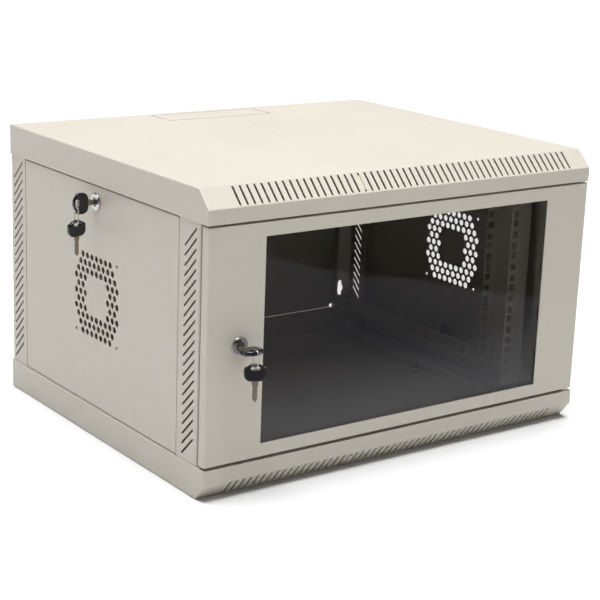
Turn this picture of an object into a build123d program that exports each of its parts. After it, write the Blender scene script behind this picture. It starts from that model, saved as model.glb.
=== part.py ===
"""Wall-mount network rack cabinet: folded steel case, glazed door, lift-off side panels, 19-inch rails.

Millimetres, +Z up. The origin is the centre of the underside, and the door faces -Y.
"""

from math import ceil, cos, floor, hypot, radians, sin, sqrt
import os

from build123d import *

# ---------------------------------------------------------------- overall size
WIDTH = 600.0
DEPTH = 500.0
HEIGHT = 373.0

# ---------------------------------------------------------------- sheet metal
COVER_SHEET = 1.2
POST_SHEET = 1.5
PANEL_SHEET = 1.2
DOOR_SHEET = 1.2
RAIL_SHEET = 2.0
BEAM_SHEET = 1.5
BEND_RADIUS = 2.0
FIT_GAP = 0.3          # between pieces that slide into each other
SEAM_GAP = 1.7         # seam above and in front of a side panel
REST_GAP = 0.8         # seam below and behind it, where it rests

# ---------------------------------------------------------------- top and bottom covers
BAND_HEIGHT = 40.0
TOP_CHAMFER_RUN = 22.0
TOP_CHAMFER_DROP = 22.0
BOTTOM_CHAMFER_RUN = 17.5
BOTTOM_CHAMFER_RISE = 21.5
VENT_PITCH = 10.0
VENT_WIDTH = 3.0
VENT_SIDE_MARGIN = 38.0
VENT_END_MARGIN = 1.8
TOP_VENT_SHIFT = 4.0   # the top row of vents lies off centre, towards the hinges
LEDGE_DEPTH = 12.0     # flange along each side band, which the side panels stand on
LEDGE_LIP = 8.0
STAY_WIDTH = 8.0
STAY_HEIGHT = 20.0
STAY_VENT = -8         # number of the vent that the stay crosses, from the middle one
STAY_SHEET = 1.5

ENTRY_LENGTH = 172.0
ENTRY_WIDTH = 51.0
ENTRY_FROM_BACK = 14.0
ENTRY_SLIT = 1.5
ENTRY_FLANGE = 10.0
ENTRY_STUD_RADIUS = 2.0
ENTRY_STUD_LENGTH = 9.0

# ---------------------------------------------------------------- 19-inch rails
RAIL_OPENING = 450.0
RACK_HOLE_SPAN = 465.0
RACK_UNIT = 44.45
RACK_HOLES_IN_UNIT = (6.35, 22.225, 38.1)
RACK_MARGIN = 53.0     # least height kept free below and above the rack space
RACK_HOLE = 9.5
RAIL_FACE = 35.0
RAIL_BACK_FACE = 24.0
RAIL_DEPTH = 61.0
RAIL_SETBACK = 62.0
RAIL_END_GAP = 1.0
RAIL_BACK_HOLE_INSET = 6.5
RAIL_CORNER = 4.0
RAIL_BACK_CORNER = 9.0
MARK_INSET = 11.0
MARK_RADIUS = 0.9
MARK_DASH = 6.0
MARK_DEPTH = 0.4

# ---------------------------------------------------------------- side rails
BEAM_HEIGHT = 21.0
BEAM_ABOVE_LEDGE = 3.0
BEAM_FLANGE = 8.0
BEAM_END_GAP = 4.5
BEAM_HOLE = 7.0
BEAM_HOLE_PITCH = 15.0
BEAM_GRID_OFFSET = -2.0

# ---------------------------------------------------------------- posts and runners
POST_INSET = 1.5       # post face behind the cover's outer side face
FRONT_POST_DEPTH = 44.5
REAR_POST_DEPTH = 42.0
POST_RETURN = 29.0
REST_DEPTH = 14.5
REST_LIP = 11.5
POST_VENT_PITCH = 12.06
POST_VENT_HEIGHT = 24.7
POST_VENT_WIDTH = 3.0
POST_VENT_END = 4.5
KEYHOLE_RADIUS = 6.5
KEYHOLE_SLOT = 7.5
KEYHOLE_LENGTH = 26.0
KEYHOLE_X = 275.6
KEYHOLE_FROM_END = 70.0
RUNNER_WIDTH = 34.5
RUNNER_HEIGHT = 10.8
RUNNER_END_GAP = 4.6

# ---------------------------------------------------------------- side panels
PANEL_FOLD = 10.5
PANEL_TAB_WIDTH = 20.0
PANEL_TAB_LENGTH = 7.0
PANEL_TAB_INSET = 3.9
PANEL_TAB_SPREAD = 260.0
TAB_SLOT_OUT = 0.6
TAB_SLOT_IN = 3.7
TAB_SLOT_ENDS = 1.0
PANEL_LOCK_DROP = 20.1  # lock centre below the panel's top edge
FAN_SCREW_SPAN = 105.0
FAN_SCREW_RADIUS = 2.25
FAN_HOLE_RADIUS = 4.4
FAN_HOLE_PITCH = 11.67
FAN_ROWS = ((7, 0), (8, 0), (9, 0), (10, 4), (9, 5), (10, 4), (9, 5), (10, 4), (9, 0), (8, 0), (7, 0))

# ---------------------------------------------------------------- back panel
BACK_GAP = 1.0
BACK_FOLD = 12.0
BACK_SIDE_GAP = 0.5
BACK_RELIEF = 5.0      # corner cut at the ends of the side folds

# ---------------------------------------------------------------- door
DOOR_DEPTH = 15.0
DOOR_SIDE_GAP = 1.5
DOOR_BOTTOM_GAP = 2.5
DOOR_TOP_GAP = 1.5
DOOR_BORDER_HINGE = 72.0
WINDOW_FROM_LOCK = 33.8
DOOR_BORDER_END = 17.0
DOOR_FOLD = 12.0
HINGE_INSET = 7.5
SWING_GAP = 0.7
GLASS_THICKNESS = 4.0
GLASS_LAP = 8.0
TAPE_THICKNESS = 0.8
CLIP_WIDTH = 16.0
CLIP_LAP = 6.0
CLIP_FOOT = 14.0
CLIP_SHEET = 1.0
CLIP_ROWS = 4
CLIP_PITCH = 60.0
CLIP_STUD_RADIUS = 2.0
CLIP_STUD_LENGTH = 6.0

# ---------------------------------------------------------------- door hinge
PIN_RADIUS = 3.0
PIN_RUNNING_GAP = 0.05
BUSH_WALL = 1.45
BUSH_FLANGE = 2.0
BUSH_FLANGE_HEIGHT = 1.0
BUSH_TAIL = 1.6
PIN_ENGAGEMENT = 4.0
PIN_COLLAR = 2.0
GUIDE_SHEET = 1.2
GUIDE_WIDTH = 13.0
GUIDE_LENGTH = 11.0
GUIDE_DROP = 34.0
GUIDE_GAP = 0.2
SPRING_WIRE = 0.4
SPRING_RADIUS = 4.2
SPRING_TURNS = 5
PIN_TRAVEL = 7.0
PIN_TAIL = 5.0
PIN_HANDLE_REACH = 19.0
PIN_HANDLE_RADIUS = 2.0

# ---------------------------------------------------------------- locks and keys
LOCK_HEAD_RADIUS = 11.0
LOCK_HEAD_HEIGHT = 2.5
LOCK_BODY_RADIUS = 9.0
LOCK_FLAT = 8.0
LOCK_HOLE_GAP = 0.2
LOCK_NUT_ACROSS = 22.0
LOCK_NUT_HEIGHT = 3.5
PLUG_RADIUS = 6.0
PLUG_GAP = 0.05
PLUG_RECESS = 0.6
CAM_WIDTH = 14.0
CAM_LENGTH = 27.0
CAM_SHEET = 2.0
CAM_CRANK_AT = 14.0
CAM_GAP = 0.5
CAM_SQUARE = 7.0
CAM_SCREW_HEAD_RADIUS = 4.0
CAM_SCREW_HEAD_HEIGHT = 2.5
CAM_SCREW_RADIUS = 1.75
CAM_SCREW_LENGTH = 4.0
DOOR_LOCK_INSET = 7.5  # lock centre inside the front post's inner face
STRIKE_HALF_HEIGHT = 32.0
KEY_BLADE_WIDTH = 7.6
KEY_BLADE_THICKNESS = 2.0
KEY_BLADE_LENGTH = 24.5
KEY_SLOT_GAP = 0.25
KEY_BITS = 5
KEY_BIT_DEPTH = 1.5
KEY_SHOULDER = 4.0     # full-width part of the blade outside the bow
BOW_WIDTH = 27.0
BOW_HEIGHT = 21.0
BOW_THICKNESS = 5.5
DOOR_KEY_STANDOFF = 14.3
PANEL_KEY_STANDOFF = 12.0
BOW_RIM = 2.6
BOW_SLOT_WIDTH = 5.0
BOW_SLOT_LENGTH = 12.0
BOW_CORNER = 8.5
BOW_EDGE = 1.6
BLADE_ROOT = 8.0
RING_WIRE = 0.65
RING_HALF_WIDTH = 5.0
RING_HEIGHT = 21.0
DOOR_SPARE_TURN = -25.0
PANEL_SPARE_TURN = 12.0

# ---------------------------------------------------------------- fasteners
M6_RADIUS = 3.0
M6_HOLE = 3.3
M6_HEAD_ACROSS = 10.0
M6_HEAD_HEIGHT = 4.0
M6_NUT_HEIGHT = 5.0
M6_TAPPED_GAP = 0.05
POST_BOLT_LENGTH = 9.0
M4_NUT_ACROSS = 7.0
M4_NUT_HEIGHT = 3.2
SCREW_RADIUS = 1.9
SCREW_HOLE = 2.1
SCREW_HEAD_RADIUS = 4.0
SCREW_HEAD_HEIGHT = 2.4
SCREW_LENGTH = 8.0
RUNNER_SCREW_SPREAD = 170.0
EARTH_X = 244.0
EARTH_Y = 12.0
EARTH_LENGTH = 9.0
EARTH_FLANGE = 1.0

# ---------------------------------------------------------------- derived places
HALF_W = WIDTH / 2
FRONT = -DEPTH / 2
BACK = DEPTH / 2
MID_Z = HEIGHT / 2
LEDGE_TOP = BAND_HEIGHT
COVER_INNER_X = HALF_W - COVER_SHEET
POST_FACE = HALF_W - POST_INSET
POST_BACK = BACK - COVER_SHEET - FIT_GAP

BEAM_X = RAIL_OPENING / 2 + RAIL_FACE
POST_INNER = BEAM_X + BEAM_SHEET
BEAM_LOW = LEDGE_TOP + BEAM_ABOVE_LEDGE
BEAM_MID = BEAM_LOW + BEAM_HEIGHT / 2
RAIL_FRONT = FRONT + RAIL_SETBACK
RAIL_BACK = RAIL_FRONT + RAIL_DEPTH
RACK_UNITS = floor((HEIGHT - 2 * RACK_MARGIN) / RACK_UNIT)
RACK_LOW = MID_Z - RACK_UNITS * RACK_UNIT / 2

DOOR_HALF = HALF_W - DOOR_SIDE_GAP
DOOR_LOW = LEDGE_TOP + BUSH_FLANGE_HEIGHT + DOOR_BOTTOM_GAP
DOOR_HIGH = HEIGHT - LEDGE_TOP - BUSH_FLANGE_HEIGHT - DOOR_TOP_GAP
DOOR_MID = (DOOR_LOW + DOOR_HIGH) / 2
DOOR_BACK = FRONT + DOOR_DEPTH
HINGE_X = DOOR_HALF - HINGE_INSET
HINGE_Y = FRONT + DOOR_DEPTH / 2
CORNER_SWEEP = hypot(HINGE_INSET - BEND_RADIUS, DOOR_DEPTH / 2 - BEND_RADIUS) + BEND_RADIUS
POST_FRONT = HINGE_Y + CORNER_SWEEP + SWING_GAP

FRONT_POST_BACK = POST_FRONT + FRONT_POST_DEPTH
REAR_POST_FRONT = POST_BACK - REAR_POST_DEPTH
RUNNER_TOP = COVER_SHEET + RUNNER_HEIGHT
POST_HEIGHT = HEIGHT - 2 * RUNNER_TOP
PANEL_LOW = LEDGE_TOP + REST_GAP
PANEL_HIGH = HEIGHT - LEDGE_TOP - SEAM_GAP
PANEL_FRONT = FRONT_POST_BACK + SEAM_GAP
PANEL_BACK = REAR_POST_FRONT - REST_GAP
PANEL_MID_Y = (PANEL_FRONT + PANEL_BACK) / 2
PANEL_LOCK_Z = PANEL_HIGH - PANEL_LOCK_DROP
LEDGE_INNER = COVER_INNER_X - LEDGE_DEPTH
PANEL_CAM_DEPTH = POST_FACE - LEDGE_INNER + CAM_GAP + COVER_SHEET
DOOR_LOCK_X = -(POST_INNER - DOOR_LOCK_INSET)
CAM_DEPTH = POST_FRONT + POST_SHEET + CAM_GAP - FRONT
LOCK_BODY_LENGTH = CAM_DEPTH - FIT_GAP


# ---------------------------------------------------------------- helpers
def block(x, y, z):
    """A box from the three (low, high) pairs."""
    size = [high - low for low, high in (x, y, z)]
    middle = [(high + low) / 2 for low, high in (x, y, z)]
    return Pos(*middle) * Box(*size)


def both(low, high, sign):
    """The pair (low, high) on the right-hand side, or its mirror on the left."""
    return (low, high) if sign > 0 else (-high, -low)


def post_along_x(profile, half):
    """A YZ outline drawn through the origin plane and extruded the same way to both sides."""
    return extrude(Plane.YZ * profile, amount=half, both=True)


def cylinder_between(radius, start, end):
    """A round bar from start to end."""
    way = Vector(*end) - Vector(*start)
    return extrude(Plane(Vector(*start), z_dir=way) * Circle(radius), amount=way.length)


def hex_bar(across, radius, start, end):
    """A hexagonal nut or bolt head from start to end, bored if radius is over zero."""
    way = Vector(*end) - Vector(*start)
    base = Plane(Vector(*start), z_dir=way)
    outline = RegularPolygon(across / sqrt(3), 6)
    if radius > 0:
        outline -= Circle(radius)
    return extrude(base * outline, amount=way.length)


def flip(shape):
    """The same piece fitted on the other side of the case, upside down."""
    return Pos(0, 0, MID_Z) * Rot(0, 180, 0) * Pos(0, 0, -MID_Z) * shape


def turn_over(shape):
    """The piece's mirror image about the cabinet's mid-height."""
    return mirror(shape, about=Plane.XY.offset(MID_Z))


def to_left(shape):
    """The piece's mirror image on the left-hand side."""
    return mirror(shape, about=Plane.YZ)


def group(pieces):
    """Separate solids kept in one node."""
    return Compound(children=[solid for piece in pieces for solid in piece.solids()])


# ---------------------------------------------------------------- covers
def cover_outline(run, rise, inset):
    """Half of a cover's side view, as an outline open towards the cabinet, with its sheet's inset."""
    slope = hypot(run, rise)
    front = FRONT + inset
    back = BACK - inset
    steep = inset * (slope - rise) / run
    flat = inset * (slope - run) / rise
    return [
        (front, BAND_HEIGHT),
        (front, rise + steep),
        (FRONT + run + flat, inset),
        (back, inset),
        (back, BAND_HEIGHT),
    ]


def vent_slots(run, rise, shift):
    """The row of straight slots down a cover's front chamfer, off centre by the shift."""
    slope = hypot(run, rise)
    across = WIDTH - 2 * VENT_SIDE_MARGIN
    count = 2 * floor(across / VENT_PITCH / 2) + 1
    normal = Vector(0, -rise, -run)
    plane = Plane(Vector(shift, FRONT + run / 2, rise / 2), x_dir=Vector(1, 0, 0), z_dir=normal)
    slot = Rot(0, 0, 90) * SlotOverall(slope - 2 * VENT_END_MARGIN, VENT_WIDTH)
    row = Sketch() + [place * slot for place in GridLocations(VENT_PITCH, 1, count, 1)]
    return extrude(plane * row, amount=2 * COVER_SHEET, both=True)


def tab_slots(sign):
    """Slots in a ledge for the two tabs of a side panel."""
    outer = POST_FACE - PANEL_TAB_INSET + TAB_SLOT_OUT
    inner = POST_FACE - PANEL_TAB_INSET - PANEL_SHEET - TAB_SLOT_IN
    half = PANEL_TAB_WIDTH / 2 + TAB_SLOT_ENDS
    slots = []
    for y in (PANEL_MID_Y - PANEL_TAB_SPREAD / 2, PANEL_MID_Y + PANEL_TAB_SPREAD / 2):
        deep = (LEDGE_TOP - 2 * COVER_SHEET, LEDGE_TOP + COVER_SHEET)
        slots.append(block(both(inner, outer, sign), (y - half, y + half), deep))
    return slots


def entry_range():
    """The cable entry's place from front to back."""
    return (BACK - ENTRY_FROM_BACK - ENTRY_WIDTH, BACK - ENTRY_FROM_BACK)


def entry_studs():
    """Places of the four weld studs that hold an entry plate."""
    low, high = entry_range()
    x = ENTRY_LENGTH / 2 - ENTRY_FLANGE
    return [(sx * x, y) for sx in (-1, 1) for y in (low - ENTRY_FLANGE / 2, high + ENTRY_FLANGE / 2)]


def folded_cover(run, rise, vent_shift):
    """A cover lying as the bottom one: sheet, chamfered front, bands, ledges, vents and cable entry."""
    outer = post_along_x(make_face(Polyline(*cover_outline(run, rise, 0), close=True)), HALF_W)
    outer = fillet(outer.edges().filter_by(lambda e: e.center().Z < BAND_HEIGHT - 0.1), BEND_RADIUS)
    hollow = [(y, z) for y, z in cover_outline(run, rise, COVER_SHEET)]
    hollow[0] = (hollow[0][0], BAND_HEIGHT + 1)
    hollow[-1] = (hollow[-1][0], BAND_HEIGHT + 1)
    cover = outer - post_along_x(make_face(Polyline(*hollow, close=True)), COVER_INNER_X)
    ledge = (LEDGE_TOP - COVER_SHEET, LEDGE_TOP)
    front_ledge = (FRONT + COVER_SHEET / 2, POST_FRONT - FIT_GAP)
    cover += block((-COVER_INNER_X, COVER_INNER_X), front_ledge, ledge)
    for sign in (-1, 1):
        span = (PANEL_FRONT, PANEL_BACK)
        cover += block(both(LEDGE_INNER, COVER_INNER_X, sign), span, ledge)
        lip = both(LEDGE_INNER - COVER_SHEET, LEDGE_INNER, sign)
        cover += block(lip, span, (LEDGE_TOP - LEDGE_LIP, LEDGE_TOP))
        cover -= tab_slots(sign)
    cover -= vent_slots(run, rise, vent_shift)
    through = (-COVER_SHEET, 2 * COVER_SHEET)
    cover -= block((-ENTRY_LENGTH / 2, ENTRY_LENGTH / 2), entry_range(), through)
    for x, y in entry_studs():
        stud = (x, y, COVER_SHEET + ENTRY_STUD_LENGTH)
        cover += cylinder_between(ENTRY_STUD_RADIUS, (x, y, COVER_SHEET / 2), stud)
    bush_hole = PIN_RADIUS + PIN_RUNNING_GAP + BUSH_WALL
    low = (HINGE_X, HINGE_Y, LEDGE_TOP - 2 * COVER_SHEET)
    cover -= cylinder_between(bush_hole, low, (HINGE_X, HINGE_Y, LEDGE_TOP + COVER_SHEET))
    return cover


def entry_plate():
    """Plate that closes a cable entry, flush outside, with a flange inside over four studs."""
    low, high = entry_range()
    half = ENTRY_LENGTH / 2
    pad_x = (-half + ENTRY_SLIT, half - ENTRY_SLIT)
    pad = block(pad_x, (low + ENTRY_SLIT, high - ENTRY_SLIT), (0, COVER_SHEET))
    wide = (-half - ENTRY_FLANGE, half + ENTRY_FLANGE)
    deep = (low - ENTRY_FLANGE, min(high + ENTRY_FLANGE, BACK - COVER_SHEET - FIT_GAP))
    plate = pad + block(wide, deep, (COVER_SHEET, 2 * COVER_SHEET))
    for x, y in entry_studs():
        top = (x, y, 3 * COVER_SHEET)
        plate -= cylinder_between(SCREW_HOLE + FIT_GAP, (x, y, COVER_SHEET / 2), top)
    return plate


def entry_nuts():
    """The nuts on one entry plate's studs."""
    base = 2 * COVER_SHEET
    return [
        hex_bar(M4_NUT_ACROSS, ENTRY_STUD_RADIUS + M6_TAPPED_GAP, (x, y, base), (x, y, base + M4_NUT_HEIGHT))
        for x, y in entry_studs()
    ]


def chamfer_stay():
    """Short strap welded behind one vent of the top chamfer."""
    normal = Vector(0, -TOP_CHAMFER_DROP, -TOP_CHAMFER_RUN)
    x = TOP_VENT_SHIFT + STAY_VENT * VENT_PITCH
    middle = Vector(x, FRONT + TOP_CHAMFER_RUN / 2, TOP_CHAMFER_DROP / 2)
    plane = Plane(middle - normal.normalized() * COVER_SHEET, x_dir=Vector(1, 0, 0), z_dir=-normal)
    return turn_over(extrude(plane * Rectangle(STAY_WIDTH, STAY_HEIGHT), amount=STAY_SHEET))


# ---------------------------------------------------------------- runners, posts and rails
def runners():
    """Two channels on the floor, from front to back, which the posts stand on."""
    span = (POST_FRONT + RUNNER_END_GAP, POST_BACK - RUNNER_END_GAP)
    pair = []
    for sign in (-1, 1):
        outer = both(POST_INNER, POST_INNER + RUNNER_WIDTH, sign)
        inner = both(POST_INNER + BEAM_SHEET, POST_INNER + RUNNER_WIDTH - BEAM_SHEET, sign)
        channel = block(outer, span, (COVER_SHEET, RUNNER_TOP))
        channel -= block(inner, (span[0] - 1, span[1] + 1), (0, RUNNER_TOP - BEAM_SHEET))
        for x, y in post_bolt_places(sign):
            tapped = M6_RADIUS + M6_TAPPED_GAP
            channel -= cylinder_between(tapped, (x, y, RUNNER_TOP - 3), (x, y, RUNNER_TOP + 1))
        for x, y in runner_screw_places(sign):
            channel -= cylinder_between(SCREW_HOLE, (x, y, RUNNER_TOP - 3), (x, y, RUNNER_TOP + 1))
        pair.append(channel)
    return group(pair)


def post_bolt_places(sign):
    """Centres of the bolts that hold a side's two posts to its runner."""
    x = sign * (POST_INNER + RUNNER_WIDTH / 2)
    return [(x, POST_FRONT + POST_RETURN / 2), (x, POST_BACK - POST_RETURN / 2)]


def runner_screw_places(sign):
    """Centres of the screws along a side's runner, between the posts."""
    x = sign * (POST_INNER + RUNNER_WIDTH / 2)
    return [(x, PANEL_MID_Y - RUNNER_SCREW_SPREAD / 2), (x, PANEL_MID_Y + RUNNER_SCREW_SPREAD / 2)]


def runner_fixings():
    """Bolts at the posts' feet and screws along the runners, at the bottom of the case."""
    pieces = []
    for sign in (-1, 1):
        seat = RUNNER_TOP + POST_SHEET
        for x, y in post_bolt_places(sign):
            head = hex_bar(M6_HEAD_ACROSS, 0, (x, y, seat), (x, y, seat + M6_HEAD_HEIGHT))
            pieces.append(head + cylinder_between(M6_RADIUS, (x, y, seat - POST_BOLT_LENGTH), (x, y, seat + 1)))
        for x, y in runner_screw_places(sign):
            top = RUNNER_TOP + SCREW_HEAD_HEIGHT
            head = cylinder_between(SCREW_HEAD_RADIUS, (x, y, RUNNER_TOP), (x, y, top))
            head = fillet(head.edges().sort_by(Axis.Z)[-1], SCREW_HEAD_HEIGHT / 2)
            tip = (x, y, RUNNER_TOP - SCREW_LENGTH)
            pieces.append(head + cylinder_between(SCREW_RADIUS, tip, (x, y, top - 1)))
    return pieces


def diagonal_vents(low_y, high_y):
    """Slanted slots through a post's side wall, falling towards the back."""
    reach = (high_y - low_y) - 2 * POST_VENT_END
    count = floor((HEIGHT - 2 * LEDGE_TOP - POST_VENT_HEIGHT) / POST_VENT_PITCH)
    plane = Plane(Vector(POST_FACE, (low_y + high_y) / 2, MID_Z), x_dir=Vector(0, 1, 0), z_dir=Vector(1, 0, 0))
    tall = min(POST_VENT_HEIGHT, reach)
    slot = Rot(0, 0, -45) * SlotOverall(tall * sqrt(2), POST_VENT_WIDTH)
    row = Sketch() + [place * slot for place in GridLocations(1, POST_VENT_PITCH, 1, count)]
    return extrude(plane * row, amount=2 * POST_SHEET, both=True)


def post_feet(post, low_y, high_y):
    """The folded tabs at both ends of a post, with their bolt holes."""
    x, y = [place for place in post_bolt_places(1) if low_y < place[1] < high_y][0]
    span = ((POST_INNER + POST_SHEET / 2, POST_FACE - POST_SHEET / 2), (low_y, high_y))
    for low in (RUNNER_TOP, HEIGHT - RUNNER_TOP - POST_SHEET):
        post += block(*span, (low, low + POST_SHEET))
        post -= cylinder_between(M6_HOLE, (x, y, low - 1), (x, y, low + POST_SHEET + 1))
    return post


def beam_bolt_holes(radius, reach):
    """Holes for the side rail's end bolts and for the 19-inch rail's bolts, on the right-hand side."""
    holes = []
    for z in (BEAM_MID, HEIGHT - BEAM_MID):
        for y in beam_end_bolts() + rail_bolt_rows():
            holes.append(cylinder_between(radius, (BEAM_X - reach, y, z), (BEAM_X + reach, y, z)))
    return holes


def grid_row(step):
    """The front-to-back place of one hole in the side rail's row."""
    return BEAM_GRID_OFFSET + step * BEAM_HOLE_PITCH


def beam_span():
    """The side rail's front and back ends."""
    return (POST_FRONT + BEAM_END_GAP, POST_BACK - BACK_FOLD - 1.0)


def beam_steps():
    """Numbers of the holes that fit in the side rail."""
    low, high = beam_span()
    first = ceil((low + BEAM_HOLE - BEAM_GRID_OFFSET) / BEAM_HOLE_PITCH)
    last = floor((high - BEAM_HOLE - BEAM_GRID_OFFSET) / BEAM_HOLE_PITCH)
    return range(first, last + 1)


def rail_bolt_rows():
    """Front-to-back places of the bolts that hold a 19-inch rail."""
    first = ceil((RAIL_FRONT + M6_HEAD_ACROSS - BEAM_GRID_OFFSET) / BEAM_HOLE_PITCH)
    return [grid_row(first), grid_row(first + 1)]


def beam_end_bolts():
    """Front-to-back places of the bolts that hold a side rail to its posts."""
    steps = beam_steps()
    return [grid_row(steps[0]), grid_row(steps[-1])]


def front_post(with_strike):
    """A front post as it stands on the left, drawn on the right; the strike is the door lock's cut-out."""
    tall = (RUNNER_TOP, HEIGHT - RUNNER_TOP)
    post = block((POST_INNER, POST_FACE), (POST_FRONT, FRONT_POST_BACK), tall)
    post = fillet(post.edges().filter_by(Axis.Z).group_by(Axis.Y)[0].sort_by(Axis.X)[-1], BEND_RADIUS)
    inner = (POST_INNER + POST_SHEET, POST_FACE - POST_SHEET)
    post -= block(inner, (POST_FRONT + POST_SHEET, FRONT_POST_BACK - POST_SHEET), tall)
    open_back = (POST_FRONT + POST_RETURN, FRONT_POST_BACK + 1)
    post -= block((POST_INNER - 1, POST_FACE - REST_DEPTH), open_back, tall)
    lip = (POST_FACE - REST_DEPTH, POST_FACE - REST_DEPTH + POST_SHEET)
    post += block(lip, (FRONT_POST_BACK - POST_SHEET, FRONT_POST_BACK + REST_LIP), (PANEL_LOW, PANEL_HIGH))
    post = post_feet(post, POST_FRONT + POST_SHEET / 2, POST_FRONT + POST_RETURN)
    post -= diagonal_vents(POST_FRONT, FRONT_POST_BACK - 2 * POST_SHEET)
    post -= beam_bolt_holes(M6_HOLE, 2 * POST_INNER - 2 * BEAM_X + POST_SHEET)
    if with_strike:
        reach = (POST_INNER - 1, -DOOR_LOCK_X + LOCK_BODY_RADIUS + CAM_GAP)
        strike = (DOOR_MID - STRIKE_HALF_HEIGHT, DOOR_MID + STRIKE_HALF_HEIGHT)
        post -= block(reach, (POST_FRONT - 1, POST_FRONT + POST_RETURN + 1), strike)
    return post


def keyhole(x, z):
    """A double-ended keyhole through the back flange of a rear post."""
    plane = Plane(Vector(x, POST_BACK, z), x_dir=Vector(1, 0, 0), z_dir=Vector(0, 1, 0))
    outline = Circle(KEYHOLE_RADIUS) + Rot(0, 0, 90) * SlotOverall(KEYHOLE_LENGTH, KEYHOLE_SLOT)
    return extrude(plane * outline, amount=2 * POST_SHEET, both=True)


def rear_post():
    """A rear post as it stands on the left, drawn on the right; its return is deep only at the side rails."""
    tall = (RUNNER_TOP, HEIGHT - RUNNER_TOP)
    post = block((POST_INNER, POST_FACE), (REAR_POST_FRONT, POST_BACK), tall)
    post = fillet(post.edges().filter_by(Axis.Z).group_by(Axis.Y)[-1].sort_by(Axis.X)[-1], BEND_RADIUS)
    inner = (POST_INNER + POST_SHEET, POST_FACE - POST_SHEET)
    post -= block(inner, (REAR_POST_FRONT + POST_SHEET, POST_BACK - POST_SHEET), tall)
    open_front = (REAR_POST_FRONT - 1, POST_BACK - POST_RETURN)
    post -= block((POST_INNER - 1, POST_FACE - REST_DEPTH), open_front, tall)
    above_rail = BEAM_LOW + BEAM_HEIGHT + FIT_GAP
    narrow = (POST_BACK - POST_RETURN - 1, POST_BACK - BACK_FOLD)
    post -= block((POST_INNER - 1, POST_FACE - REST_DEPTH), narrow, (above_rail, HEIGHT - above_rail))
    lip = (POST_FACE - REST_DEPTH, POST_FACE - REST_DEPTH + POST_SHEET)
    post += block(lip, (REAR_POST_FRONT - REST_LIP, REAR_POST_FRONT + POST_SHEET), (PANEL_LOW, PANEL_HIGH))
    post = post_feet(post, POST_BACK - POST_RETURN, POST_BACK - POST_SHEET / 2)
    post -= diagonal_vents(REAR_POST_FRONT + 2 * POST_SHEET, POST_BACK - POST_SHEET)
    post -= beam_bolt_holes(M6_HOLE, 2 * POST_INNER - 2 * BEAM_X + POST_SHEET)
    for z in (KEYHOLE_FROM_END, HEIGHT - KEYHOLE_FROM_END):
        post -= keyhole(POST_INNER + KEYHOLE_X - BEAM_X - BEAM_SHEET, z)
    for z in back_screw_rows():
        low = (POST_INNER - 1, back_screw_y(), z)
        post -= cylinder_between(SCREW_HOLE, low, (POST_INNER + POST_SHEET + 1, back_screw_y(), z))
    return post


def side_rail():
    """The right-hand bottom side rail, a strip with square holes and two narrow flanges."""
    low, high = beam_span()
    web = (BEAM_X, BEAM_X + BEAM_SHEET)
    beam = block(web, (low, high), (BEAM_LOW, BEAM_LOW + BEAM_HEIGHT))
    free = (FRONT_POST_BACK + FIT_GAP, REAR_POST_FRONT - FIT_GAP)
    for z in (BEAM_LOW, BEAM_LOW + BEAM_HEIGHT - BEAM_SHEET):
        beam += block((BEAM_X, BEAM_X + BEAM_FLANGE), free, (z, z + BEAM_SHEET))
    plane = Plane(Vector(BEAM_X, BEAM_GRID_OFFSET, BEAM_MID), x_dir=Vector(0, 1, 0), z_dir=Vector(1, 0, 0))
    holes = [plane * Pos(step * BEAM_HOLE_PITCH, 0) * Rectangle(BEAM_HOLE, BEAM_HOLE) for step in beam_steps()]
    return beam - [extrude(hole, amount=2 * BEAM_SHEET, both=True) for hole in holes]


def rack_hole_rows():
    """Heights of the square holes, three to a rack unit."""
    return [RACK_LOW + unit * RACK_UNIT + hole for unit in range(RACK_UNITS) for hole in RACK_HOLES_IN_UNIT]


def rack_rail():
    """The right-hand 19-inch rail: a channel with square holes in both of its flanges."""
    low, high = LEDGE_TOP + RAIL_END_GAP, HEIGHT - LEDGE_TOP - RAIL_END_GAP
    edge = RAIL_OPENING / 2
    back_edge = BEAM_X - RAIL_BACK_FACE
    face = block((edge, BEAM_X), (RAIL_FRONT, RAIL_FRONT + RAIL_SHEET), (low, high))
    face = fillet(face.edges().filter_by(Axis.Y).group_by(Axis.X)[0], RAIL_CORNER)
    back = block((back_edge, BEAM_X), (RAIL_BACK - RAIL_SHEET, RAIL_BACK), (low, high))
    back = chamfer(back.edges().filter_by(Axis.Y).group_by(Axis.X)[0], RAIL_BACK_CORNER)
    rail = face + back + block((BEAM_X - RAIL_SHEET, BEAM_X), (RAIL_FRONT, RAIL_BACK), (low, high))
    hole_x = RACK_HOLE_SPAN / 2
    back_x = back_edge + RAIL_BACK_HOLE_INSET
    for z in rack_hole_rows():
        for x, y in ((hole_x, RAIL_FRONT), (back_x, RAIL_BACK)):
            half = RACK_HOLE / 2
            rail -= block((x - half, x + half), (y - 3, y + 3), (z - half, z + half))
    for step in range(2 * RACK_UNITS + 1):
        z = RACK_LOW + step * RACK_UNIT / 2
        half = MARK_DASH / 2 if step % 4 == 0 else MARK_RADIUS
        mark = (BEAM_X - MARK_INSET - half, BEAM_X - MARK_INSET + half)
        rail -= block(mark, (RAIL_FRONT - 1, RAIL_FRONT + MARK_DEPTH), (z - MARK_RADIUS, z + MARK_RADIUS))
    for z in (BEAM_MID, HEIGHT - BEAM_MID):
        for y in rail_bolt_rows():
            start = (BEAM_X - RAIL_SHEET - 1, y, z)
            rail -= cylinder_between(M6_HOLE, start, (BEAM_X + 1, y, z))
    return rail


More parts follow.
